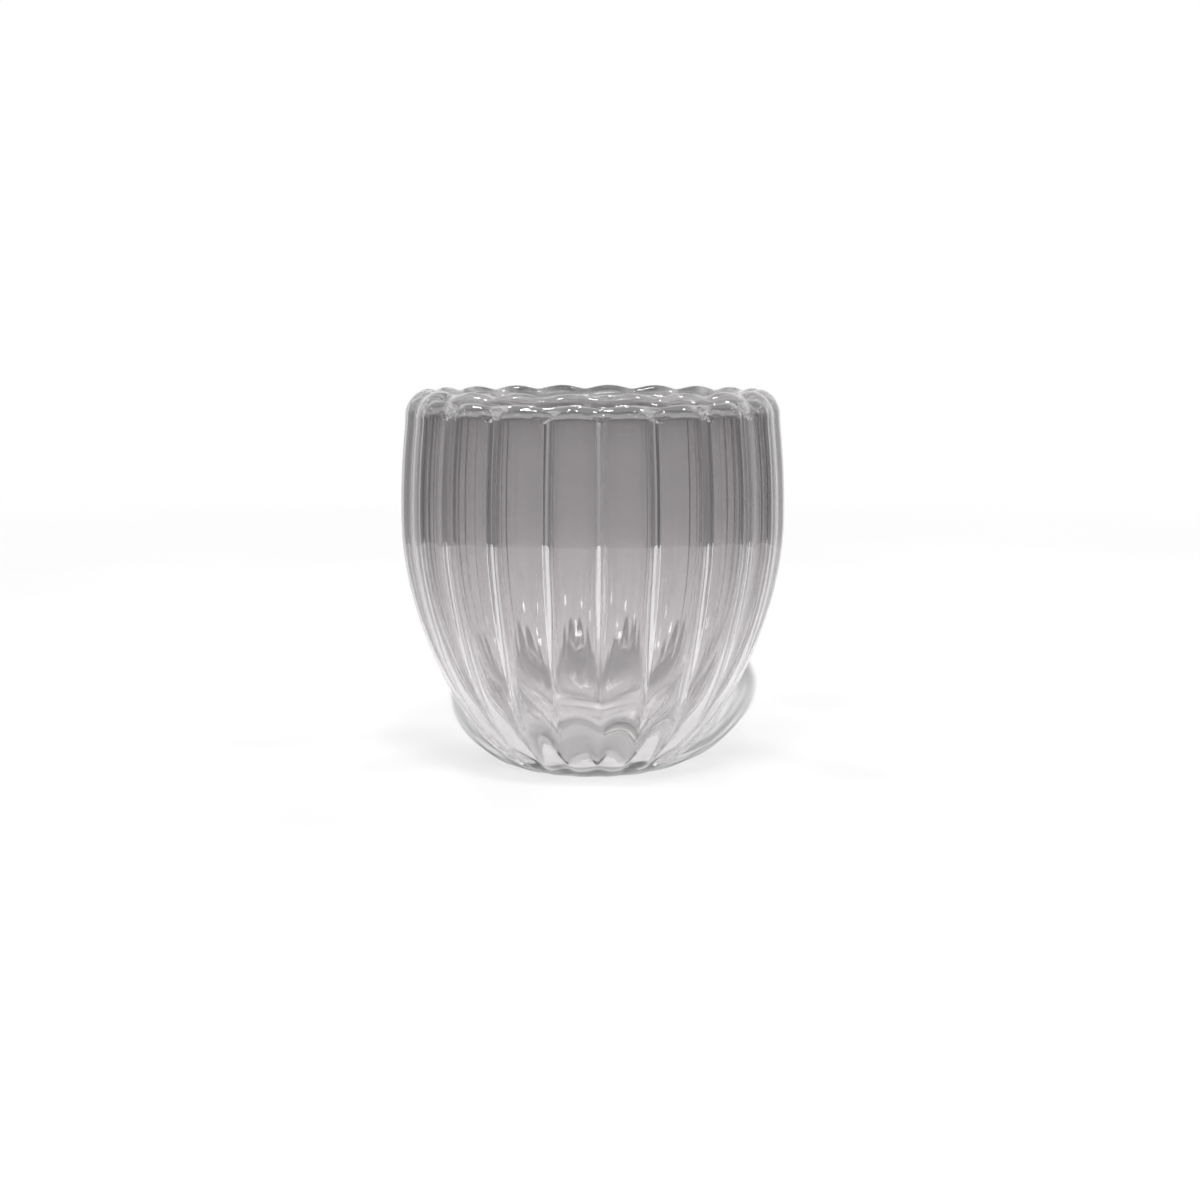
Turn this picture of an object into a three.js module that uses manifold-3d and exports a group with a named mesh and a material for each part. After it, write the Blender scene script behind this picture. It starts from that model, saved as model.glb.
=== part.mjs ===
// A double-walled drinking glass. The outer shell is blown with ribs all round: shallow grooves
// outside and a ridge behind each, inside. The inner cup hangs in it by its lip, which flares out and
// rolls down onto the shell's top edge, where the two are fused. The vent that lets the hot air
// out of the space between them is closed by a small seal in the foot.
// Millimetres, +Z up, origin at the middle of the foot, front towards -Y.
import * as THREE from 'three';
import { mergeVertices } from 'three/addons/utils/BufferGeometryUtils.js';
import Module from 'manifold-3d';

// Outline of the outer shell, over the crests of the ribs
const HEIGHT = 84.5; // foot to crest of the rim
const BODY_RADIUS = 43; // widest radius
const BODY_HEIGHT = 56; // height where it is widest
const FOOT_RADIUS = 14.9; // flat face it stands on
const FOOT_SWEEP = 11.5; // pull of the curve outwards along the table
const BELLY_SWEEP = 25; // pull of the curve straight down below the widest place
const SHOULDER_SWEEP = 14; // pull straight up above the widest place
const NECK_SWEEP = 3; // pull straight down below the rim

// Rim
const RIM_RADIUS = 41.7; // outside of the rim where it meets the shell
const RIM_HEIGHT = 5.5; // seam to crest
const RIM_WIDTH = 8.2; // outside to mouth
const RIM_ROLL = 4.6; // outside to crest
const RIM_THICKNESS = 3; // glass over the top of the air space

// Ribs
const RIB_COUNT = 20;
const RIB_TURN = THREE.MathUtils.degToRad(3); // from the front to the nearest groove
const GROOVE_DEPTH = 0.85; // between ribs, outside
const RIDGE_HEIGHT = 3; // behind each groove, inside
const VALLEY_ROUNDING = 0.3; // 0 is a sharp groove
const RIDGE_ROUNDING = 0.05; // 0 is a sharp ridge
const RIB_FADE = 9; // how far from the foot the ribs reach full depth, along the radius

// Walls
const SHELL_WALL = 1.5; // at the crest of a rib
const FOOT_THICKNESS = 3;
const FOOT_TAPER = 20; // height over which the foot thins into the wall
const CUP_WALL = 1.5;
const BOWL_THICKNESS = 2.5; // bottom of the cup
const BOWL_TAPER = 12; // height over which the bowl's bottom thins into the wall
const AIR_GAP = 1.5; // ridges to cup, at the widest place
const FLOOR_GAP = 7; // foot to bottom of the cup
const BOWL_SWEEP = 20; // pull of the bowl's curve outwards from its lowest point
const BOWL_RISE = 24; // pull of the bowl's curve down from its widest place
const FUSE_GAP = 0.3; // shell to rim, and seal to vent

// Vent and its seal
const VENT_RADIUS = 2.3;
const VENT_OFFSET = 9; // from the middle of the foot
const VENT_TURN = THREE.MathUtils.degToRad(39); // from the right-hand side towards the back
const SEAL_RECESS = 0.5; // kept off the table
const SEAL_HEAD_RADIUS = 3.2;
const SEAL_HEAD_HEIGHT = 1.4;

// Facets
const STEPS_PER_RIB = 6;
const ROUND_STEPS_PER_RIB = 2; // on rings that the ribs leave round
const VALLEY_CROWDING = 0.09; // draws the steps towards the grooves
const SEAL_STEPS = 20;
const SEAL_DOME_STEPS = 5;

// Places that follow from the sizes
const seamHeight = HEIGHT - RIM_HEIGHT;
const mouthRadius = RIM_RADIUS - RIM_WIDTH;
const crestRadius = RIM_RADIUS - RIM_ROLL;
const neckRadius = mouthRadius + CUP_WALL;
const cupRadius = BODY_RADIUS - SHELL_WALL - RIDGE_HEIGHT - AIR_GAP;
const cupBottom = FOOT_THICKNESS + FLOOR_GAP;

const wasm = await Module();
wasm.setup();

const { smoothstep, lerp } = THREE.MathUtils;

function bezier(...corners) {
  const points = corners.map(([r, z]) => new THREE.Vector2(r, z));
  return new THREE.CubicBezierCurve(...points);
}

// A round quarter from one end to the other, leaving upright and arriving level
function rollOver([fromR, fromZ], [toR, toZ]) {
  const pull = 4 / 3 * (Math.SQRT2 - 1);
  return bezier([fromR, fromZ], [fromR, lerp(fromZ, toZ, pull)], [lerp(toR, fromR, pull), toZ], [toR, toZ]);
}

// Points along a curve with the way the glass faces there, which is to the right of the walk.
// ribAt tells how far a groove and a ridge move the surface along that way at their full depth.
function walk(curve, steps, ribAt) {
  const points = [];
  for (let i = 0; i <= steps; i += 1) {
    const place = curve.getPoint(i / steps);
    const along = curve.getTangent(i / steps);
    points.push({ r: place.x, z: place.y, outR: along.y, outZ: -along.x, ...ribAt(place.x) });
  }
  return points;
}

// The other face of a wall, walked back, with the wall's thickness and ribs given by place
function backFace(face, wallAt, ribAt) {
  const back = face.map(({ r, z, outR, outZ }) => ({
    r: r - outR * wallAt(z),
    z: z - outZ * wallAt(z),
    outR: -outR,
    outZ: -outZ,
    ...ribAt(r),
  }));
  return back.reverse();
}

// 1 in the middle of a groove, 0 on the crest of a rib
function grooveShare(angle) {
  const wave = Math.sin(RIB_COUNT * (angle - RIB_TURN) / 2);
  const crest = Math.hypot(1, VALLEY_ROUNDING);
  return (crest - Math.hypot(wave, VALLEY_ROUNDING)) / (crest - VALLEY_ROUNDING);
}

// 1 on the top of a ridge, falling off to each side in a hollow curve that ends where the next begins
function ridgeShare(angle) {
  const pitch = 2 * Math.PI / RIB_COUNT;
  const turn = THREE.MathUtils.euclideanModulo(angle - RIB_TURN + pitch / 2, pitch) - pitch / 2;
  const away = Math.min(Math.hypot(2 * turn / pitch, RIDGE_ROUNDING), 1);
  return ((1 - away) / (1 - RIDGE_ROUNDING)) ** 2;
}

function ribAngles() {
  const angles = [];
  for (let i = 0; i < RIB_COUNT * STEPS_PER_RIB; i += 1) {
    const step = i / STEPS_PER_RIB;
    const share = step - VALLEY_CROWDING * Math.sin(2 * Math.PI * step);
    angles.push(RIB_TURN + share * 2 * Math.PI / RIB_COUNT);
  }
  return angles;
}

// The triangles between two rings, where the finer ring has a whole number of steps to each
// step of the coarser one. The lower ring comes first on the walk.
function band(low, high) {
  const triangles = [];
  const [coarse, fine] = low.length <= high.length ? [low, high] : [high, low];
  const steps = fine.length / coarse.length;
  const face = (a, b, c) => triangles.push(...(coarse === low ? [a, b, c] : [a, c, b]));
  for (let i = 0; i < coarse.length; i += 1) {
    const here = coarse[i];
    const next = coarse[(i + 1) % coarse.length];
    const opposite = (step) => fine[(i * steps + step) % fine.length];
    const middle = Math.floor(steps / 2);
    for (let step = 0; step < steps; step += 1) {
      face(step < middle ? here : next, opposite(step + 1), opposite(step));
    }
    face(here, next, opposite(middle));
  }
  return triangles;
}

// A solid of revolution from a profile that starts and ends on the axis. Rings that the ribs
// leave round have fewer steps than the others.
function revolve(profile) {
  const angles = ribAngles();
  const positions = [];
  const addPoint = (x, y, z) => positions.push(x, y, z) / 3 - 1;
  const rings = profile.filter(({ r }) => r > 0).map(({ r, z, outR, outZ, groove, ridge }) => {
    const stride = groove === 0 && ridge === 0 ? STEPS_PER_RIB / ROUND_STEPS_PER_RIB : 1;
    return angles.filter((_, i) => i % stride === 0).map((angle) => {
      const moved = groove * grooveShare(angle) + ridge * ridgeShare(angle);
      const radius = r + outR * moved;
      const height = z + outZ * moved;
      return addPoint(radius * Math.sin(angle), -radius * Math.cos(angle), height);
    });
  });
  const first = addPoint(0, 0, profile[0].z);
  const last = addPoint(0, 0, profile.at(-1).z);

  const triangles = [];
  rings[0].forEach((point, i, ring) => triangles.push(first, ring[(i + 1) % ring.length], point));
  for (let i = 0; i + 1 < rings.length; i += 1) {
    triangles.push(...band(rings[i], rings[i + 1]));
  }
  rings.at(-1).forEach((point, i, ring) => triangles.push(last, point, ring[(i + 1) % ring.length]));

  const geometry = new THREE.BufferGeometry();
  geometry.setAttribute('position', new THREE.Float32BufferAttribute(positions, 3));
  geometry.setIndex(triangles);
  return geometry;
}

function toSolid(geometry) {
  const bare = geometry.clone();
  bare.deleteAttribute('normal');
  bare.deleteAttribute('uv');
  const merged = mergeVertices(bare, 1e-4);
  return new wasm.Manifold(new wasm.Mesh({
    numProp: 3,
    vertProperties: new Float32Array(merged.getAttribute('position').array),
    triVerts: new Uint32Array(merged.getIndex().array),
  }));
}

function toGeometry(solid) {
  const mesh = solid.getMesh();
  const geometry = new THREE.BufferGeometry();
  geometry.setAttribute('position', new THREE.Float32BufferAttribute(mesh.vertProperties, 3));
  geometry.setIndex(Array.from(mesh.triVerts));
  return geometry;
}

const ribShare = (r) => smoothstep(r, FOOT_RADIUS, FOOT_RADIUS + RIB_FADE);
const noRib = () => ({ groove: 0, ridge: 0 });
const grooved = (r) => ({ groove: -GROOVE_DEPTH * ribShare(r), ridge: 0 });
const ridged = (r) => ({ groove: 0, ridge: RIDGE_HEIGHT * ribShare(r) });

function ventPlace() {
  return new THREE.Vector3(VENT_OFFSET * Math.cos(VENT_TURN), VENT_OFFSET * Math.sin(VENT_TURN), 0);
}

function outerShell() {
  const belly = bezier(
    [FOOT_RADIUS, 0],
    [FOOT_RADIUS + FOOT_SWEEP, 0],
    [BODY_RADIUS, BODY_HEIGHT - BELLY_SWEEP],
    [BODY_RADIUS, BODY_HEIGHT],
  );
  const shoulder = bezier(
    [BODY_RADIUS, BODY_HEIGHT],
    [BODY_RADIUS, BODY_HEIGHT + SHOULDER_SWEEP],
    [RIM_RADIUS, seamHeight - NECK_SWEEP],
    [RIM_RADIUS, seamHeight],
  );
  const outside = [...walk(belly, 9, grooved), ...walk(shoulder, 3, grooved).slice(1)];
  const wallAt = (z) => lerp(FOOT_THICKNESS, SHELL_WALL, smoothstep(z, 0, FOOT_TAPER));
  const inside = backFace(outside, wallAt, ridged);
  const footFace = { r: 0, z: 0 };
  const footTop = { r: 0, z: FOOT_THICKNESS };
  const pot = toSolid(revolve([footFace, ...outside, ...inside, footTop]));

  const drill = new THREE.CylinderGeometry(VENT_RADIUS, VENT_RADIUS, 4 * FOOT_THICKNESS, SEAL_STEPS);
  drill.rotateX(Math.PI / 2);
  drill.translate(...ventPlace());
  return toGeometry(pot.subtract(toSolid(drill)));
}

function innerCup() {
  const bowl = bezier(
    [0, cupBottom],
    [BOWL_SWEEP, cupBottom],
    [cupRadius, BODY_HEIGHT - BOWL_RISE],
    [cupRadius, BODY_HEIGHT],
  );
  const wall = bezier(
    [cupRadius, BODY_HEIGHT],
    [cupRadius, BODY_HEIGHT + SHOULDER_SWEEP],
    [neckRadius, seamHeight - NECK_SWEEP],
    [neckRadius, seamHeight],
  );
  const outside = [...walk(bowl, 8, noRib), ...walk(wall, 3, noRib).slice(1)];
  const wallAt = (z) => lerp(BOWL_THICKNESS, CUP_WALL, smoothstep(z - cupBottom, 0, BOWL_TAPER));
  const inside = backFace(outside, wallAt, noRib);

  // The lip arches over the air space and comes down on the shell's top edge
  const lipHeight = seamHeight + FUSE_GAP;
  const lipInside = RIM_RADIUS - SHELL_WALL;
  const archPull = (RIM_HEIGHT - RIM_THICKNESS) * 4 / 3;
  const arch = bezier(
    [neckRadius, seamHeight],
    [neckRadius, seamHeight + archPull],
    [lipInside, lipHeight + archPull],
    [lipInside, lipHeight],
  );
  const archRib = (r) => ({ groove: 0, ridge: RIDGE_HEIGHT * smoothstep(r, neckRadius, lipInside) });
  const overArch = walk(arch, 4, archRib).slice(1);

  const rollOut = rollOver([RIM_RADIUS, lipHeight], [crestRadius, HEIGHT]);
  const rollIn = rollOver([mouthRadius, seamHeight], [crestRadius, HEIGHT]);
  const rimGroove = (r) => ({ groove: -GROOVE_DEPTH * smoothstep(r, mouthRadius, crestRadius), ridge: 0 });
  const upRim = walk(rollOut, 4, rimGroove);
  const downLip = walk(rollIn, 3, rimGroove).reverse().slice(1, -1);
  for (const point of downLip) {
    point.outR *= -1;
    point.outZ *= -1;
  }
  return revolve([...outside, ...overArch, ...upRim, ...downLip, ...inside]);
}

function ventSeal() {
  const stem = VENT_RADIUS - FUSE_GAP;
  const shelf = FOOT_THICKNESS + FUSE_GAP;
  const profile = [
    new THREE.Vector2(0, SEAL_RECESS),
    new THREE.Vector2(stem, SEAL_RECESS),
    new THREE.Vector2(stem, shelf),
  ];
  for (let i = 0; i <= SEAL_DOME_STEPS; i += 1) {
    const turn = i / SEAL_DOME_STEPS * Math.PI / 2;
    const radius = i < SEAL_DOME_STEPS ? SEAL_HEAD_RADIUS * Math.cos(turn) : 0;
    profile.push(new THREE.Vector2(radius, shelf + SEAL_HEAD_HEIGHT * Math.sin(turn)));
  }
  return new THREE.LatheGeometry(profile, SEAL_STEPS).rotateX(Math.PI / 2);
}

const shellGlass = new THREE.MeshStandardMaterial({
  color: 0xc9c8c9, roughness: 0.03, metalness: 0, transparent: true, opacity: 0.4,
});
const cupGlass = new THREE.MeshStandardMaterial({
  color: 0xd3d2d2, roughness: 0.03, metalness: 0, transparent: true, opacity: 0.4,
});
const sealSilicone = new THREE.MeshStandardMaterial({
  color: 0xe3e1dc, roughness: 0.45, metalness: 0, transparent: true, opacity: 0.8,
});

function part(name, geometry, material) {
  const mesh = new THREE.Mesh(geometry, material);
  mesh.name = name;
  return mesh;
}

const glass = new THREE.Group();
glass.add(part('outer_shell', outerShell(), shellGlass));
glass.add(part('inner_cup', innerCup(), cupGlass));
const seal = part('vent_seal', ventSeal(), sealSilicone);
seal.position.copy(ventPlace());
glass.add(seal);

export default glass;
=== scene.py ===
"""The looks of a ribbed double-walled drinking glass, in metres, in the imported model's frame."""
import math

import bmesh
import bpy
import numpy as np
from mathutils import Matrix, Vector
from mathutils.geometry import tessellate_polygon


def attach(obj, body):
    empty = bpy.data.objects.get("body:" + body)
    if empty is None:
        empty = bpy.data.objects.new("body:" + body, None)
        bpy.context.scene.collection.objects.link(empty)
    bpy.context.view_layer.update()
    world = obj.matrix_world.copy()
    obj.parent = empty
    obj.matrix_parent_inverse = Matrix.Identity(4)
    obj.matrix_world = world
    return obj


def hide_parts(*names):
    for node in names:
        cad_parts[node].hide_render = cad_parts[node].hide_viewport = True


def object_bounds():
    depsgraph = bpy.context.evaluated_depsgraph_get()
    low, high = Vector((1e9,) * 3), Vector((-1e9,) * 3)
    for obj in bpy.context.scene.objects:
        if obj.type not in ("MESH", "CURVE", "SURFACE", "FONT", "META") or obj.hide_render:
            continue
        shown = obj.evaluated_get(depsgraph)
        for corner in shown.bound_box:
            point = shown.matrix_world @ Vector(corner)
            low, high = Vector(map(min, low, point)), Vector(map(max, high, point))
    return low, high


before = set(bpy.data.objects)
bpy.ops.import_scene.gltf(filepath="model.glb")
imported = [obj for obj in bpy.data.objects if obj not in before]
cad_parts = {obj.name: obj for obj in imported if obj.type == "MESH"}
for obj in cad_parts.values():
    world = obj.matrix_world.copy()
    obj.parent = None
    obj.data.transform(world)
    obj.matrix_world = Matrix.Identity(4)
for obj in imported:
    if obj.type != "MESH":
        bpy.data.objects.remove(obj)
cad_low, cad_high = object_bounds()

MM = 0.001

# Outline of the outer shell, over the crests of the ribs, a hair inside the solid's coarser facets
HEIGHT = cad_high.z
FACET_LOSS = 0.07 * MM
BODY_RADIUS = 43 * MM - FACET_LOSS
BODY_HEIGHT = 56 * MM
FOOT_RADIUS = 14.9 * MM
FOOT_SWEEP = 11.5 * MM
BELLY_SWEEP = 25 * MM
SHOULDER_SWEEP = 14 * MM
NECK_SWEEP = 3 * MM

# Rim
RIM_RADIUS = 41.7 * MM
RIM_HEIGHT = 5.5 * MM
RIM_WIDTH = 8.2 * MM
RIM_ROLL = 4.6 * MM
RIM_THICKNESS = 3 * MM

# Ribs, with a groove outside and a ridge inside between each two of them
RIB_COUNT = 20
RIB_TURN = math.radians(3)
GROOVE_DEPTH = 0.85 * MM
VALLEY_ROUNDING = 0.3
RIDGE_HEIGHT = 3.5 * MM
RIDGE_ROUNDING = 0.05
RIB_FADE = 9 * MM
RIDGE_FULL = 45 * MM

# Walls
SHELL_WALL = 1.5 * MM
FOOT_THICKNESS = 3 * MM
FOOT_TAPER = 20 * MM
CUP_WALL = 1.5 * MM
BOWL_THICKNESS = 2.5 * MM
BOWL_TAPER = 12 * MM
AIR_GAP = 1.0 * MM
FLOOR_GAP = 7 * MM
BOWL_SWEEP = 20 * MM
BOWL_RISE = 24 * MM

# Vent and its seal
VENT_RADIUS = 2.3 * MM
VENT_OFFSET = 9 * MM
VENT_TURN = math.radians(39)
SEAL_FIT = 0.05 * MM
SEAL_RECESS = 0.5 * MM
SEAL_DIMPLE = 0.3 * MM
SEAL_EDGE = 0.4 * MM
SEAL_HEAD_RADIUS = 3.2 * MM
SEAL_HEAD_HEIGHT = 1.4 * MM
SEAL_BRIM = 0.15 * MM
SEAL_UNDERCUT = 0.96
SEAL_FULLNESS = 0.8

# Fineness of the meshes
STEPS_PER_RIB = 28
VALLEY_CROWDING = 0.12
BELLY_STEPS = 54
SHOULDER_STEPS = 18
BOWL_STEPS = 40
NECK_STEPS = 14
ARCH_STEPS = 18
ROLL_STEPS = 16
VENT_STEPS = 40
DIMPLE_STEPS = 8
BEAD_STEPS = 12
SHARP_ANGLE = math.radians(50)

# Lengths of a cubic curve's handles, as shares of a round quarter's radius and of an arch's height
QUARTER_PULL = 4 / 3 * (math.sqrt(2) - 1)
ARCH_PULL = 4 / 3

# Places that follow from the sizes
seam_height = HEIGHT - RIM_HEIGHT
mouth_radius = RIM_RADIUS - RIM_WIDTH
crest_radius = RIM_RADIUS - RIM_ROLL
lip_inside = RIM_RADIUS - SHELL_WALL
neck_radius = mouth_radius + CUP_WALL
cup_radius = BODY_RADIUS - SHELL_WALL - RIDGE_HEIGHT - AIR_GAP
cup_bottom = FOOT_THICKNESS + FLOOR_GAP
vent_place = Vector((VENT_OFFSET * math.cos(VENT_TURN), VENT_OFFSET * math.sin(VENT_TURN), 0))
seal_stem = VENT_RADIUS - SEAL_FIT
seal_shelf = FOOT_THICKNESS + SEAL_FIT

# The photograph's camera, from the fit of the outline, and where the glass stands in the picture
PICTURE_SIDE = 1200
FOCAL_PIXELS = 1750
AXIS_PIXEL = 592.5
CAMERA_DISTANCE = 392.6 * MM
CAMERA_HEIGHT = 95.2 * MM
CAMERA_PITCH = math.radians(8.44)
CAMERA_NEAREST = 10 * MM
SENSOR_WIDTH = 36

# Tint of the glass, painted shade for the darker surroundings seen through it: the heights between which
# it deepens upwards, and what a millimetre lets through at each
SHELL_SHADE_SPAN = (5 * MM, 60 * MM)
SHELL_SHADE_PASS = (0.96, 0.70)
SHELL_TINT = (1.0, 0.98, 0.99, 1)
CUP_SHADE_SPAN = (66 * MM, 80 * MM)
CUP_SHADE_PASS = (0.96, 0.83)
CUP_TINT = (1.0, 0.99, 0.99, 1)
BLACK = (0.0, 0.0, 0.0, 1)
GLASS_IOR = 1.474

# The same for the light that falls through the glass, and the share that passes where it only grazes
SHADOW_SPAN = (40 * MM, 78 * MM)
SHADOW_PASS = (1.0, 0.60)
SHADOW_EDGE = 0.40
GRAZING_BLEND = 0.35
GRAZING_SPAN = (0.2, 1.0)

# Draw lines in the glass, and the film of finger marks on it
DRAW_SCALE = (1400, 1400, 18)
DRAW_DETAIL = 3.0
DRAW_STRENGTH = 0.05
DRAW_DEPTH = 0.02 * MM
SHELL_FILM = 55.0
CUP_FILM = 62.0
FILM_DETAIL = 5.0
FILM_SPAN = (0.55, 0.8)
FILM_ROUGHNESS = 0.03

# Silicone of the seal
SILICONE_DARK = (0.80, 0.79, 0.76, 1)
SILICONE_LIGHT = (0.92, 0.91, 0.89, 1)
SILICONE_ROUGHNESS = (0.3, 0.5)
SILICONE_CLOUD = 900.0
SILICONE_DETAIL = 4.0
SILICONE_BUMP = 0.2
SILICONE_GRAIN = 0.05 * MM
SILICONE_SCATTER = 0.5
SCATTER_REACH = 2 * MM
SILICONE_PASS = 0.75

# Values that most of a noise lies between
NOISE_SPAN = (0.3, 0.7)

# Floor
FLOOR_HALF = 3.0
FLOOR_TONE = 0.86
FLOOR_GRAIN = 0.01
GRAIN_SCALE = 8.0
GRAIN_DETAIL = 2.0
FLOOR_ROUGHNESS = 0.8
FLOOR_GLOSS = 0.1
FLOOR_LIT = 0.30
FLOOR_FADED = 0.75

# Sky
WHITE = (1, 1, 1, 1)
WORLD_FILL = 0.10
CEILING_START = math.radians(20)
CEILING_FULL = math.radians(36)
CEILING_TONE = 0.45

# Lamps: one far key lamp, round ones all about and a strip above the camera
KEY_PLACE = (-0.03, -1.0, 0.53)
KEY_POWER = 4.95
KEY_ANGLE = math.radians(1)
LAMP_PLACES = [
    (-0.75, -0.35, 1.0), (-0.3, -0.9, 1.1), (0.15, -0.7, 1.3), (0.7, -0.6, 0.9),
    (0.8, 0.2, 1.1), (-0.4, 0.5, 1.3), (0.3, 0.6, 1.2),
]
LAMP_SIDES = (0.13, 0.13)
LAMP_POWER = 1.0
STRIP_PLACE = (0.0, -0.55, 1.30)
STRIP_SIDES = (0.40, 0.09)
STRIP_POWER = 2.2

# Screen round the stage, with angles from straight behind the glass
SCREEN_AWAY = 0.32
SCREEN_HEIGHT = 0.12
SCREEN_TONE = 0.24
FRONT_TONE = 0.55
SCREEN_WHITE = math.radians(30)
SCREEN_DARK = math.radians(80)
SCREEN_STEPS = 96

# Bounces that keep the thick rim from going black
GLASS_BOUNCES = 256
CLEAR_BOUNCES = 32

# Material slots of a glass mesh
BODY_SLOT = 0
SEAM_SLOT = 1


def smoothstep(x, low, high):
    """0 up to low, 1 from high on, and an even curve between them."""
    t = np.clip((np.asarray(x, float) - low) / (high - low), 0, 1)
    return t * t * (3 - 2 * t)


class Profile:
    """Rows of a wall in the (radius, height) half-plane: their places, the way the glass faces,
    how far a groove or a ridge moves them that way, and the thickness of the wall there."""

    def __init__(self, place, out, groove=0.0, ridge=0.0, wall=0.0):
        rows = len(place)
        self.place = np.asarray(place, float)
        self.out = np.asarray(out, float)
        self.groove = np.broadcast_to(groove, rows).astype(float)
        self.ridge = np.broadcast_to(ridge, rows).astype(float)
        self.wall = np.broadcast_to(wall, rows).astype(float)

    def fields(self):
        return self.place, self.out, self.groove, self.ridge, self.wall

    def __add__(self, other):
        return Profile(*[np.concatenate(pair) for pair in zip(self.fields(), other.fields())])

    def __getitem__(self, rows):
        return Profile(*[field[rows] for field in self.fields()])

    def back(self, ridge):
        """The other face of the wall, walked back."""
        place = self.place - self.out * self.wall[:, None]
        return Profile(place, -self.out, 0.0, ridge, self.wall)[::-1]


def bezier(corners, steps):
    """Places along a cubic curve, and the way to its right at each."""
    a, b, c, d = np.asarray(corners, float)
    t = np.linspace(0, 1, steps + 1)[:, None]
    place = (1 - t) ** 3 * a + 3 * (1 - t) ** 2 * t * b + 3 * (1 - t) * t ** 2 * c + t ** 3 * d
    along = (1 - t) ** 2 * (b - a) + 2 * (1 - t) * t * (c - b) + t ** 2 * (d - c)
    along /= np.linalg.norm(along, axis=1)[:, None]
    return place, np.column_stack([along[:, 1], -along[:, 0]])


def join(first, second):
    """One curve from two that meet."""
    return [np.concatenate([a, b[1:]]) for a, b in zip(first, second)]


def roll_over(start, end):
    """A round quarter that leaves start upright and arrives at end level."""
    up = start[1] + (end[1] - start[1]) * QUARTER_PULL
    across = end[0] + (start[0] - end[0]) * (1 - QUARTER_PULL)
    return bezier([start, (start[0], up), (across, end[1]), end], ROLL_STEPS)


def shoulder(radius, top_radius, steps):
    """The upper part of a wall, from its widest place to the seam."""
    return bezier([(radius, BODY_HEIGHT), (radius, BODY_HEIGHT + SHOULDER_SWEEP),
                   (top_radius, seam_height - NECK_SWEEP), (top_radius, seam_height)], steps)


def taper(height, low_wall, high_wall, span):
    """The thickness of a wall that thins from its bottom up."""
    return low_wall + (high_wall - low_wall) * smoothstep(height, 0, span)


def groove_share(angle):
    """1 in the middle of a groove, 0 on the crest of a rib."""
    wave = np.sin(RIB_COUNT * (angle - RIB_TURN) / 2)
    crest = math.hypot(1, VALLEY_ROUNDING)
    return (crest - np.hypot(wave, VALLEY_ROUNDING)) / (crest - VALLEY_ROUNDING)


def ridge_share(angle):
    """1 on the top of an inner ridge, which runs behind each groove and falls off in a hollow curve."""
    pitch = 2 * math.pi / RIB_COUNT
    turn = (angle - RIB_TURN + pitch / 2) % pitch - pitch / 2
    away = np.minimum(np.hypot(turn / (pitch / 2), RIDGE_ROUNDING), 1)
    return ((1 - away) / (1 - RIDGE_ROUNDING)) ** 2


def rib_angles():
    """Angles round the axis, closer together at the grooves."""
    step = np.arange(RIB_COUNT * STEPS_PER_RIB) / STEPS_PER_RIB
    share = step - VALLEY_CROWDING * np.sin(2 * np.pi * step)
    return RIB_TURN + share * 2 * np.pi / RIB_COUNT


ANGLES = rib_angles()
GROOVES = groove_share(ANGLES)
RIDGES = ridge_share(ANGLES)


def new_object(name, data):
    thing = bpy.data.objects.new(name, data)
    bpy.context.collection.objects.link(thing)
    return thing


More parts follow.
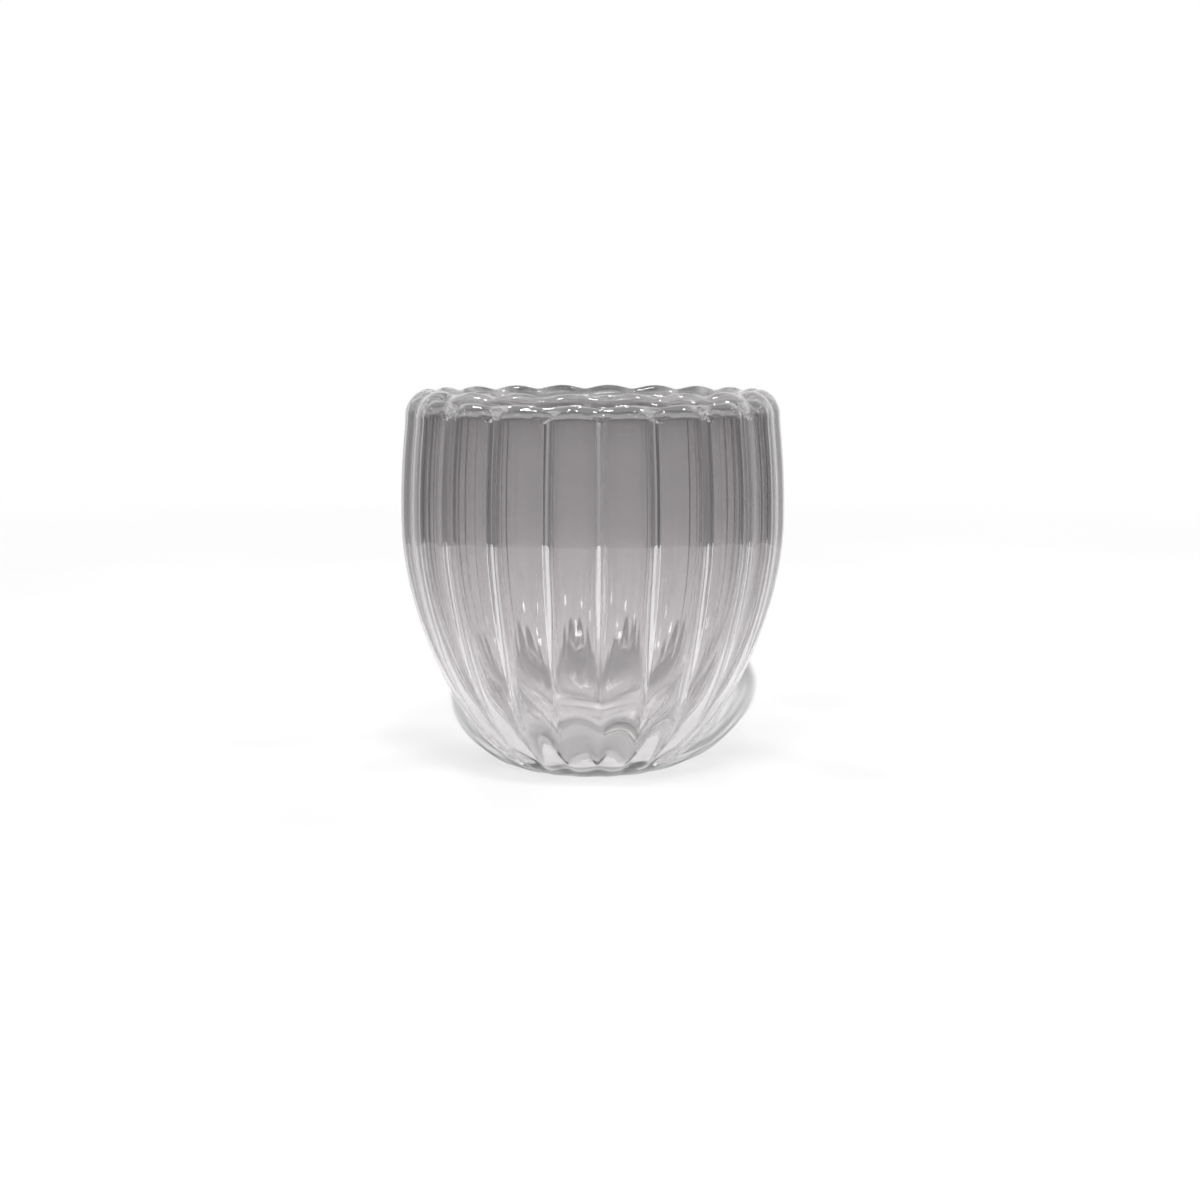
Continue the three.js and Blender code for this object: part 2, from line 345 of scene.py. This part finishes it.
class MeshMaker:
    """Gathers points and faces, each point with the depth of glass behind it."""

    def __init__(self):
        self.points = []
        self.depths = []
        self.faces = []
        self.slots = []
        self.count = 0

    def add_points(self, points, depths):
        """Adds points and gives back the number of the first."""
        first = self.count
        self.points.append(np.asarray(points, float).reshape(-1, 3))
        self.depths.append(np.broadcast_to(depths, len(self.points[-1])).astype(float))
        self.count += len(self.points[-1])
        return first

    def add_faces(self, faces, slot):
        self.faces.extend(faces)
        self.slots.extend([slot] * len(faces))

    def add_rows(self, profile):
        """Sweeps a profile round the axis, and gives back its rings of points."""
        moved = profile.groove[:, None] * GROOVES + profile.ridge[:, None] * RIDGES
        radius = profile.place[:, :1] + profile.out[:, :1] * moved
        height = profile.place[:, 1:] + profile.out[:, 1:] * moved
        points = np.stack([radius * np.sin(ANGLES), -radius * np.cos(ANGLES), height], axis=-1)
        first = self.add_points(points, np.repeat(profile.wall, len(ANGLES)))
        rings = first + np.arange(len(profile.place) * len(ANGLES)).reshape(len(profile.place), -1)
        for low, high in zip(rings, rings[1:]):
            self.add_band(low, high)
        return rings

    def add_vent_ring(self, radius, height, depth):
        """A ring of points round the middle of the vent."""
        turn = np.arange(VENT_STEPS) * 2 * np.pi / VENT_STEPS
        ring = np.column_stack([radius * np.cos(turn), radius * np.sin(turn), np.full(VENT_STEPS, height)])
        return self.add_points(ring + np.array(vent_place), depth) + np.arange(VENT_STEPS)

    def add_band(self, low, high, slot=BODY_SLOT):
        """Faces between two rings of equally many points."""
        quads = np.column_stack([low, np.roll(low, -1), np.roll(high, -1), high])
        self.add_faces(quads.tolist(), slot)

    def add_cap(self, ring, point):
        """Closes a ring with a fan round one point, facing the way that the ring turns."""
        fan = np.column_stack([ring, np.roll(ring, -1), np.full(len(ring), point)])
        self.add_faces(fan.tolist(), BODY_SLOT)

    def add_plate(self, outline, hole):
        """A flat plate between an outline and a hole in it, facing the way that the outline turns."""
        points = np.concatenate(self.points)
        loops = [[Vector(points[i]) for i in loop] for loop in (outline, hole)]
        index = np.concatenate([outline, hole])
        corner = points[outline[0]]
        up = np.cross(points[outline[1]] - corner, points[outline[-1]] - corner)[2]
        plate = []
        for a, b, c in tessellate_polygon(loops):
            corners = [int(index[a]), int(index[b]), int(index[c])]
            p, q, r = points[corners]
            if np.cross(q - p, r - p)[2] * up < 0:
                corners.reverse()
            plate.append(corners)
        self.add_faces(plate, BODY_SLOT)

    def build(self, name, materials):
        """Makes the object, smooth apart from its sharp edges."""
        mesh = bpy.data.meshes.new(name)
        mesh.from_pydata(np.concatenate(self.points).tolist(), [], self.faces)
        depth = mesh.attributes.new("glass_depth", "FLOAT", "POINT")
        depth.data.foreach_set("value", np.concatenate(self.depths) / MM)
        for material in materials:
            mesh.materials.append(material)
        mesh.polygons.foreach_set("material_index", self.slots)
        mesh.polygons.foreach_set("use_smooth", [True] * len(self.faces))
        work = bmesh.new()
        work.from_mesh(mesh)
        for edge in work.edges:
            if len(edge.link_faces) == 2 and edge.calc_face_angle() > SHARP_ANGLE:
                edge.smooth = False
        work.to_mesh(mesh)
        work.free()
        return new_object(name, mesh)


def shell_profiles():
    """The shell's outside, from the foot up to the seam, and its inside, back down."""
    belly = bezier([(FOOT_RADIUS, 0), (FOOT_RADIUS + FOOT_SWEEP, 0),
                    (BODY_RADIUS, BODY_HEIGHT - BELLY_SWEEP), (BODY_RADIUS, BODY_HEIGHT)], BELLY_STEPS)
    place, out = join(belly, shoulder(BODY_RADIUS, RIM_RADIUS, SHOULDER_STEPS))
    radius, height = place.T
    rib = smoothstep(radius, FOOT_RADIUS, FOOT_RADIUS + RIB_FADE)
    wall = taper(height, FOOT_THICKNESS, SHELL_WALL, FOOT_TAPER)
    outside = Profile(place, out, -GROOVE_DEPTH * rib, 0.0, wall)
    return outside, outside.back(RIDGE_HEIGHT * rib * smoothstep(height, 0, RIDGE_FULL))


def make_shell(materials):
    """The outer wall, open at the seam, with the vent through its foot."""
    maker = MeshMaker()
    outside, inside = shell_profiles()
    outer = maker.add_rows(outside)
    inner = maker.add_rows(inside)
    maker.add_band(outer[-1], inner[0], SEAM_SLOT)
    low = maker.add_vent_ring(VENT_RADIUS, 0, FOOT_THICKNESS)
    high = maker.add_vent_ring(VENT_RADIUS, FOOT_THICKNESS, FOOT_THICKNESS)
    maker.add_plate(outer[0][::-1], low)
    maker.add_plate(inner[-1], high)
    maker.add_band(high, low)
    return maker.build("shell_glass_body", materials)


def cup_walls():
    """The cup's outside, from the bottom up to the neck, and its inside, back down."""
    bowl = bezier([(0, cup_bottom), (BOWL_SWEEP, cup_bottom),
                   (cup_radius, BODY_HEIGHT - BOWL_RISE), (cup_radius, BODY_HEIGHT)], BOWL_STEPS)
    place, out = join(bowl, shoulder(cup_radius, neck_radius, NECK_STEPS))
    wall = taper(place[:, 1] - cup_bottom, BOWL_THICKNESS, CUP_WALL, BOWL_TAPER)
    outside = Profile(place, out, wall=wall)
    return outside, outside.back(0.0)


def rim_profiles():
    """The rim's arched underside, its outer roll up to the crest, and its lip down to the mouth."""
    arch_top = seam_height + (RIM_HEIGHT - RIM_THICKNESS) * ARCH_PULL
    arch = bezier([(neck_radius, seam_height), (neck_radius, arch_top),
                   (lip_inside, arch_top), (lip_inside, seam_height)], ARCH_STEPS)
    arch_ridge = RIDGE_HEIGHT * smoothstep(arch[0][:, 0], neck_radius, lip_inside)
    under_arch = Profile(*arch, ridge=arch_ridge, wall=RIM_THICKNESS)

    roll_out = roll_over((RIM_RADIUS, seam_height), (crest_radius, HEIGHT))
    up_rim = Profile(*roll_out, groove=-GROOVE_DEPTH, wall=RIM_THICKNESS)

    place, inward = roll_over((mouth_radius, seam_height), (crest_radius, HEIGHT))
    lip_groove = -GROOVE_DEPTH * smoothstep(place[:, 0], mouth_radius, crest_radius)
    down_lip = Profile(place, -inward, groove=lip_groove, wall=RIM_THICKNESS)[::-1]
    return under_arch, up_rim, down_lip


def make_cup(materials):
    """The inner wall with the rim, which sits on the shell's top edge."""
    outside, inside = cup_walls()
    under_arch, up_rim, down_lip = rim_profiles()
    maker = MeshMaker()
    lower = maker.add_rows((outside + under_arch[1:])[1:])
    upper = maker.add_rows((up_rim + down_lip[1:] + inside[1:])[:-1])
    maker.add_band(lower[-1], upper[0], SEAM_SLOT)
    maker.add_cap(lower[0][::-1], maker.add_points([0, 0, cup_bottom], BOWL_THICKNESS))
    maker.add_cap(upper[-1], maker.add_points([0, 0, cup_bottom + BOWL_THICKNESS], BOWL_THICKNESS))
    return maker.build("cup_glass_body", materials)


def seal_rows():
    """The seal's radius and height, from the dimple below, up its stem and over the bead."""
    rows = []
    for step in range(1, DIMPLE_STEPS + 1):
        share = step / DIMPLE_STEPS
        rows.append((seal_stem * share, SEAL_RECESS + SEAL_DIMPLE * (1 - share ** 2)))
    rows.append((seal_stem, SEAL_RECESS + SEAL_EDGE))
    rows.append((seal_stem, seal_shelf))
    rows.append((SEAL_HEAD_RADIUS * SEAL_UNDERCUT, seal_shelf))
    for step in range(BEAD_STEPS):
        turn = step / BEAD_STEPS * math.pi / 2
        rise = SEAL_HEAD_HEIGHT * math.sin(turn) ** SEAL_FULLNESS
        rows.append((SEAL_HEAD_RADIUS * math.cos(turn), seal_shelf + SEAL_BRIM + rise))
    return rows


def make_seal(material):
    """A plug of silicone that has set with a bead inside and a shallow dimple below."""
    maker = MeshMaker()
    rings = [maker.add_vent_ring(radius, height, 0) for radius, height in seal_rows()]
    for low, high in zip(rings, rings[1:]):
        maker.add_band(low, high)
    dimple = vent_place + Vector((0, 0, SEAL_RECESS + SEAL_DIMPLE))
    top = vent_place + Vector((0, 0, seal_shelf + SEAL_BRIM + SEAL_HEAD_HEIGHT))
    maker.add_cap(rings[0][::-1], maker.add_points(dimple, 0))
    maker.add_cap(rings[-1], maker.add_points(top, 0))
    return maker.build("vent_seal_plug", [material])


class Nodes:
    """Short calls for building a material's nodes."""

    def __init__(self, tree):
        self.tree = tree

    def feed(self, node, values):
        """Sets a node's inputs, each to a value or to what another node gives."""
        for key, value in values.items():
            socket = node.inputs[key]
            if isinstance(value, bpy.types.NodeSocket):
                self.tree.links.new(value, socket)
            else:
                socket.default_value = value

    def add(self, kind, values=None, **settings):
        node = self.tree.nodes.new(kind)
        for key, value in settings.items():
            setattr(node, key, value)
        self.feed(node, values or {})
        return node

    def place(self):
        return self.add("ShaderNodeTexCoord").outputs["Object"]

    def axis(self, vector, letter):
        return self.add("ShaderNodeSeparateXYZ", {0: vector}).outputs[letter]

    def math(self, operation, *values):
        return self.add("ShaderNodeMath", dict(enumerate(values)), operation=operation).outputs[0]

    def ramp(self, value, low, high, to_low, to_high, shape="SMOOTHSTEP"):
        values = dict(enumerate((value, low, high, to_low, to_high)))
        return self.add("ShaderNodeMapRange", values, interpolation_type=shape).outputs[0]

    def noise(self, place, scale, detail):
        values = {"Vector": place, "Scale": scale, "Detail": detail}
        return self.add("ShaderNodeTexNoise", values).outputs[0]

    def bump(self, height, strength, distance):
        values = {"Height": height, "Strength": strength, "Distance": distance}
        return self.add("ShaderNodeBump", values).outputs[0]

    def mix_colours(self, share, first, second):
        return self.add("ShaderNodeMix", {0: share, 6: first, 7: second}, data_type="RGBA").outputs[2]

    def mix_numbers(self, share, first, second):
        return self.add("ShaderNodeMix", {0: share, 2: first, 3: second}, data_type="FLOAT").outputs[0]

    def mix_shaders(self, share, first, second):
        return self.add("ShaderNodeMixShader", {0: share, 1: first, 2: second}).outputs[0]

    def show(self, shader):
        """Makes a shader the material's surface."""
        self.feed(self.tree.nodes["Material Output"], {"Surface": shader})


def new_material(name):
    material = bpy.data.materials.new(name)
    material.use_nodes = True
    nodes = Nodes(material.node_tree)
    shader = material.node_tree.nodes["Principled BSDF"]
    return material, nodes, shader


def falling_light(nodes, height, depth):
    """The glass as light falls through it: it dims the light high up and where it only grazes."""
    grazing = nodes.add("ShaderNodeLayerWeight", {"Blend": GRAZING_BLEND}).outputs["Facing"]
    passed = nodes.math("POWER", nodes.ramp(height, *SHADOW_SPAN, *SHADOW_PASS), depth)
    dimmed = nodes.math("MULTIPLY", passed, nodes.ramp(grazing, *GRAZING_SPAN, 1.0, SHADOW_EDGE))
    return nodes.add("ShaderNodeBsdfTransparent", {"Color": dimmed}).outputs[0]


def is_falling(nodes):
    """1 for the rays of light from a lamp or from a matt surface, which the glass doesn't bend."""
    path = nodes.add("ShaderNodeLightPath").outputs
    return nodes.math("MAXIMUM", path["Is Shadow Ray"], path["Is Diffuse Ray"])


def glass_material(name, film_scale, span, passing, colour):
    """Clear glass with a grey tint that deepens upwards and where the wall is thick, painted shade for the
    darker surroundings seen through it; faint upright draw lines from the forming, and a thin film of
    finger marks."""
    material, nodes, shader = new_material(name)
    place = nodes.place()
    height = nodes.axis(place, "Z")
    depth = nodes.add("ShaderNodeAttribute", attribute_name="glass_depth").outputs["Fac"]
    # The grey tint is painted shade: darker higher up and where the wall is thick
    tone = nodes.math("POWER", nodes.ramp(height, *span, *passing, "LINEAR"), depth)
    stretched = nodes.add("ShaderNodeMapping", {"Vector": place, "Scale": DRAW_SCALE}).outputs[0]
    lines = nodes.noise(stretched, 1.0, DRAW_DETAIL)
    film = nodes.noise(place, film_scale, FILM_DETAIL)
    nodes.feed(shader, {
        "Base Color": nodes.mix_colours(tone, BLACK, colour),
        "Normal": nodes.bump(lines, DRAW_STRENGTH, DRAW_DEPTH),
        "Roughness": nodes.ramp(film, *FILM_SPAN, 0.0, FILM_ROUGHNESS),
        "IOR": GLASS_IOR,
        "Transmission Weight": 1.0,
    })
    unbent = falling_light(nodes, height, depth)
    nodes.show(nodes.mix_shaders(is_falling(nodes), shader.outputs[0], unbent))
    return material


def seam_material():
    """The fused seam inside the rim, where nothing shows."""
    material, nodes, shader = new_material("fused_seam")
    nodes.tree.nodes.remove(shader)
    nodes.show(nodes.add("ShaderNodeBsdfTransparent").outputs[0])
    return material


def silicone_material():
    """Cloudy silicone that lets most light through."""
    material, nodes, shader = new_material("seal_silicone")
    cloud = nodes.noise(nodes.place(), SILICONE_CLOUD, SILICONE_DETAIL)
    nodes.feed(shader, {
        "Base Color": nodes.mix_colours(cloud, SILICONE_DARK, SILICONE_LIGHT),
        "Roughness": nodes.ramp(cloud, *NOISE_SPAN, *SILICONE_ROUGHNESS),
        "Normal": nodes.bump(cloud, SILICONE_BUMP, SILICONE_GRAIN),
        "Subsurface Weight": SILICONE_SCATTER,
        "Subsurface Radius": (SCATTER_REACH, SCATTER_REACH, SCATTER_REACH),
        "Transmission Weight": SILICONE_PASS,
    })
    return material


def fit(piece, node):
    """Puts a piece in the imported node's place."""
    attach(piece, "root")
    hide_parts(node)


def is_seen(nodes):
    """1 for the rays that show a surface to the camera, straight or by way of the glass alone."""
    path = nodes.add("ShaderNodeLightPath").outputs
    mirrored = nodes.math("MAXIMUM", path["Is Glossy Ray"], path["Is Transmission Ray"])
    shown = nodes.math("MAXIMUM", path["Is Camera Ray"], mirrored)
    return nodes.math("MULTIPLY", shown, nodes.math("LESS_THAN", path["Diffuse Depth"], 0.5))


def floor_material():
    """Pale paint near the glass, which takes its shadow, and plain white further off."""
    material, nodes, shader = new_material("floor_paint")
    place = nodes.place()
    grain = nodes.noise(place, GRAIN_SCALE, GRAIN_DETAIL)
    nodes.feed(shader, {
        "Base Color": nodes.ramp(grain, *NOISE_SPAN, FLOOR_TONE - FLOOR_GRAIN, FLOOR_TONE + FLOOR_GRAIN),
        "Roughness": FLOOR_ROUGHNESS,
        "Specular IOR Level": FLOOR_GLOSS,
    })
    away = nodes.add("ShaderNodeVectorMath", {0: place}, operation="LENGTH").outputs["Value"]
    fade = nodes.math("MULTIPLY", nodes.ramp(away, FLOOR_LIT, FLOOR_FADED, 0.0, 1.0), is_seen(nodes))
    white = nodes.add("ShaderNodeEmission", {"Strength": 1.0}).outputs[0]
    nodes.show(nodes.mix_shaders(fade, shader.outputs[0], white))
    return material


def make_floor():
    mesh = bpy.data.meshes.new("floor")
    corners = [(-1, -1), (1, -1), (1, 1), (-1, 1)]
    mesh.from_pydata([(x * FLOOR_HALF, y * FLOOR_HALF, 0) for x, y in corners], [], [(0, 1, 2, 3)])
    mesh.materials.append(floor_material())
    new_object("floor", mesh)


def screen_material():
    """White behind the glass, dark at its sides, which draws the edges of the ribs, and grey before it."""
    material, nodes, shader = new_material("screen_cloth")
    nodes.tree.nodes.remove(shader)
    along = nodes.axis(nodes.place(), "Y")
    dark = SCREEN_AWAY * math.cos(SCREEN_DARK)
    white = SCREEN_AWAY * math.cos(SCREEN_WHITE)
    behind = nodes.ramp(along, dark, white, SCREEN_TONE, 1.0)
    before = nodes.ramp(along, -SCREEN_AWAY, 0.0, FRONT_TONE, SCREEN_TONE)
    tone = nodes.math("MULTIPLY", nodes.math("MAXIMUM", behind, before), is_seen(nodes))
    nodes.show(nodes.add("ShaderNodeEmission", {"Strength": tone}).outputs[0])
    return material


def make_screen():
    """A low screen round the stage that only the glass shows."""
    turns = np.linspace(0, 2 * math.pi, SCREEN_STEPS, endpoint=False)
    low = [(SCREEN_AWAY * math.sin(t), SCREEN_AWAY * math.cos(t), 0) for t in turns]
    high = [(x, y, SCREEN_HEIGHT) for x, y, _ in low]
    after = [(i + 1) % SCREEN_STEPS for i in range(SCREEN_STEPS)]
    faces = [(i, j, SCREEN_STEPS + j, SCREEN_STEPS + i) for i, j in enumerate(after)]
    mesh = bpy.data.meshes.new("screen")
    mesh.from_pydata(low + high, [], faces)
    mesh.materials.append(screen_material())
    screen = new_object("screen", mesh)
    screen.visible_camera = False
    screen.visible_shadow = False
    screen.visible_diffuse = False


def make_world():
    """White round the horizon, a darker ceiling, and a soft even fill on what isn't glossy."""
    world = bpy.data.worlds.new("studio")
    bpy.context.scene.world = world
    world.use_nodes = True
    nodes = Nodes(world.node_tree)
    up = nodes.axis(nodes.add("ShaderNodeTexCoord").outputs["Generated"], "Z")
    tone = nodes.ramp(up, math.sin(CEILING_START), math.sin(CEILING_FULL), 1.0, CEILING_TONE)
    strength = nodes.mix_numbers(is_seen(nodes), WORLD_FILL, tone)
    nodes.feed(world.node_tree.nodes["Background"], {"Color": WHITE, "Strength": strength})


def aim_lamp(name, data, place, aim):
    lamp = new_object(name, data)
    lamp.location = place
    lamp.rotation_euler = (Vector(aim) - Vector(place)).to_track_quat("-Z", "Y").to_euler()


def make_lamp(name, place, shape, sides, watts):
    """A flat lamp that shines on the middle of the glass."""
    data = bpy.data.lights.new(name, "AREA")
    data.shape = shape
    data.size, data.size_y = sides
    data.energy = watts
    aim_lamp(name, data, place, (0, 0, HEIGHT / 2))


def make_lamps():
    key = bpy.data.lights.new("key", "SUN")
    key.energy = KEY_POWER
    key.angle = KEY_ANGLE
    aim_lamp("key", key, KEY_PLACE, (0, 0, 0))
    for number, place in enumerate(LAMP_PLACES):
        make_lamp("lamp_%d" % number, place, "DISK", LAMP_SIDES, LAMP_POWER)
    make_lamp("strip", STRIP_PLACE, "RECTANGLE", STRIP_SIDES, STRIP_POWER)


def make_camera():
    data = bpy.data.cameras.new("photo_camera")
    data.sensor_width = SENSOR_WIDTH
    data.lens = FOCAL_PIXELS / PICTURE_SIDE * SENSOR_WIDTH
    data.clip_start = CAMERA_NEAREST
    camera = new_object("photo_camera", data)
    aside = (PICTURE_SIDE / 2 - AXIS_PIXEL) / FOCAL_PIXELS * CAMERA_DISTANCE
    camera.location = (aside, -CAMERA_DISTANCE, CAMERA_HEIGHT)
    camera.rotation_euler = (math.pi / 2 - CAMERA_PITCH, 0, 0)
    bpy.context.scene.camera = camera


def set_rendering():
    scene = bpy.context.scene
    scene.view_settings.view_transform = "Standard"
    scene.cycles.caustics_reflective = False
    scene.cycles.caustics_refractive = False
    scene.cycles.max_bounces = GLASS_BOUNCES
    scene.cycles.transmission_bounces = GLASS_BOUNCES
    scene.cycles.glossy_bounces = GLASS_BOUNCES
    scene.cycles.transparent_max_bounces = CLEAR_BOUNCES


# Camera and stage
make_camera()
make_floor()
make_screen()
make_world()
make_lamps()
set_rendering()

# The glass
seam = seam_material()
# Both glasses carry a tint of painted shade that deepens towards the top
shell_glass = glass_material("shell_glass", SHELL_FILM, SHELL_SHADE_SPAN, SHELL_SHADE_PASS, SHELL_TINT)
cup_glass = glass_material("cup_glass", CUP_FILM, CUP_SHADE_SPAN, CUP_SHADE_PASS, CUP_TINT)
fit(make_shell([shell_glass, seam]), "outer_shell")
fit(make_cup([cup_glass, seam]), "inner_cup")
fit(make_seal(silicone_material()), "vent_seal")
